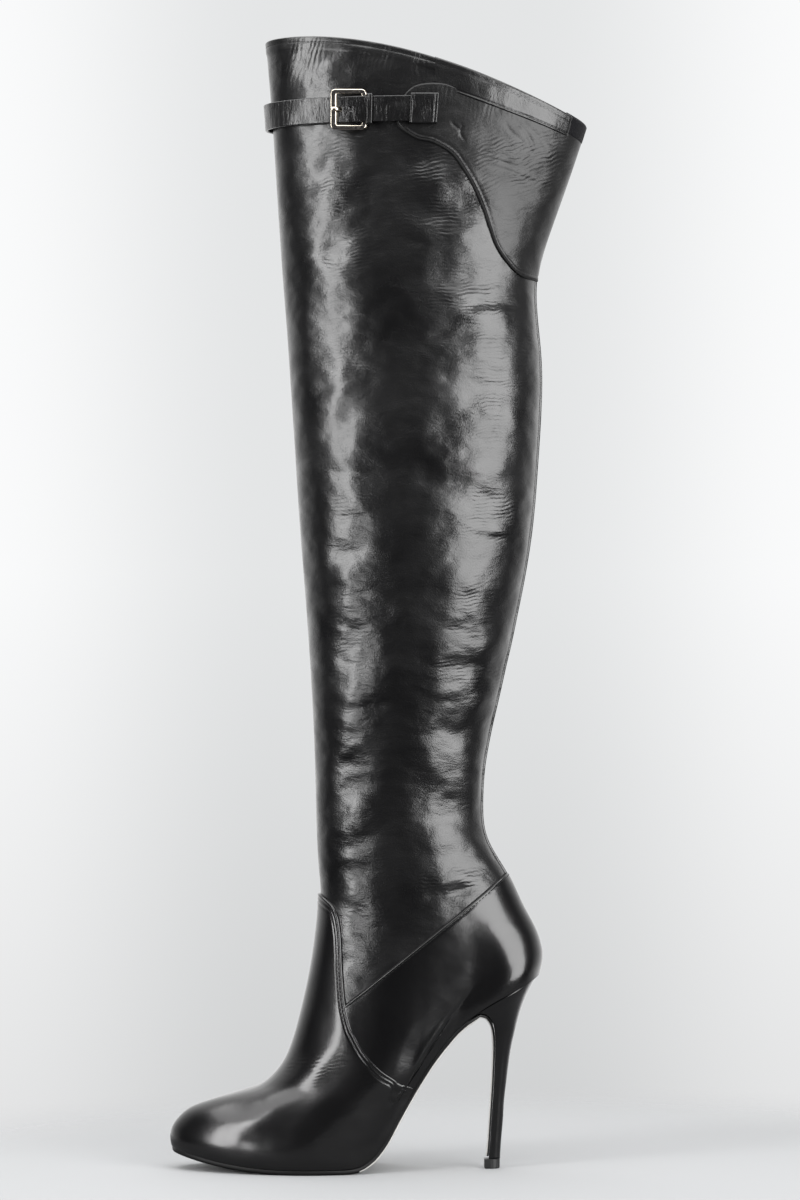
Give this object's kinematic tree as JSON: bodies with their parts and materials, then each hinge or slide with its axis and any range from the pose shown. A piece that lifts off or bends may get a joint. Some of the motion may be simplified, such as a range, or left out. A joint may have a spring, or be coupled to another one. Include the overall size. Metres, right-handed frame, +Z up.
{
  "type": "thigh high boot",
  "caption": "Thigh high boot in smooth black leather with a stiletto heel, a knee panel and a buckled strap round the collar; left foot, stands on its sole and top lift.",
  "frame": {"origin": "middle of the top lift's underside, where the heel stands on the floor", "axes": "+Z up along the shaft, -X towards the toe, -Y towards the outer side"},
  "size_m": [0.2603, 0.0974, 0.7027],
  "materials": {
    "calf": "smooth black calf, glossy",
    "polished_calf": "black calf, high polish",
    "lining": "matte lining leather",
    "sole_leather": "pale sole leather with a black edge",
    "rubber": "matte",
    "elastic": "knitted elastic, matte",
    "nickel": "polished nickel"
  },
  "bodies": {
    "root": {"upper": "calf", "vamp": "polished_calf", "counter": "polished_calf", "back_strip": "calf", "knee_panel": "calf", "collar_band_outer": "calf", "collar_band_inner": "calf", "elastic_gore": "elastic", "insole": "lining", "outsole": "sole_leather", "heel": "polished_calf", "top_lift": "rubber", "strap": "calf", "chape": "calf", "strap_keeper": "calf", "strap_loop": "calf", "strap_anchor": "calf", "buckle_frame": "nickel", "buckle_prong": "nickel"}
  },
  "joints": []
}
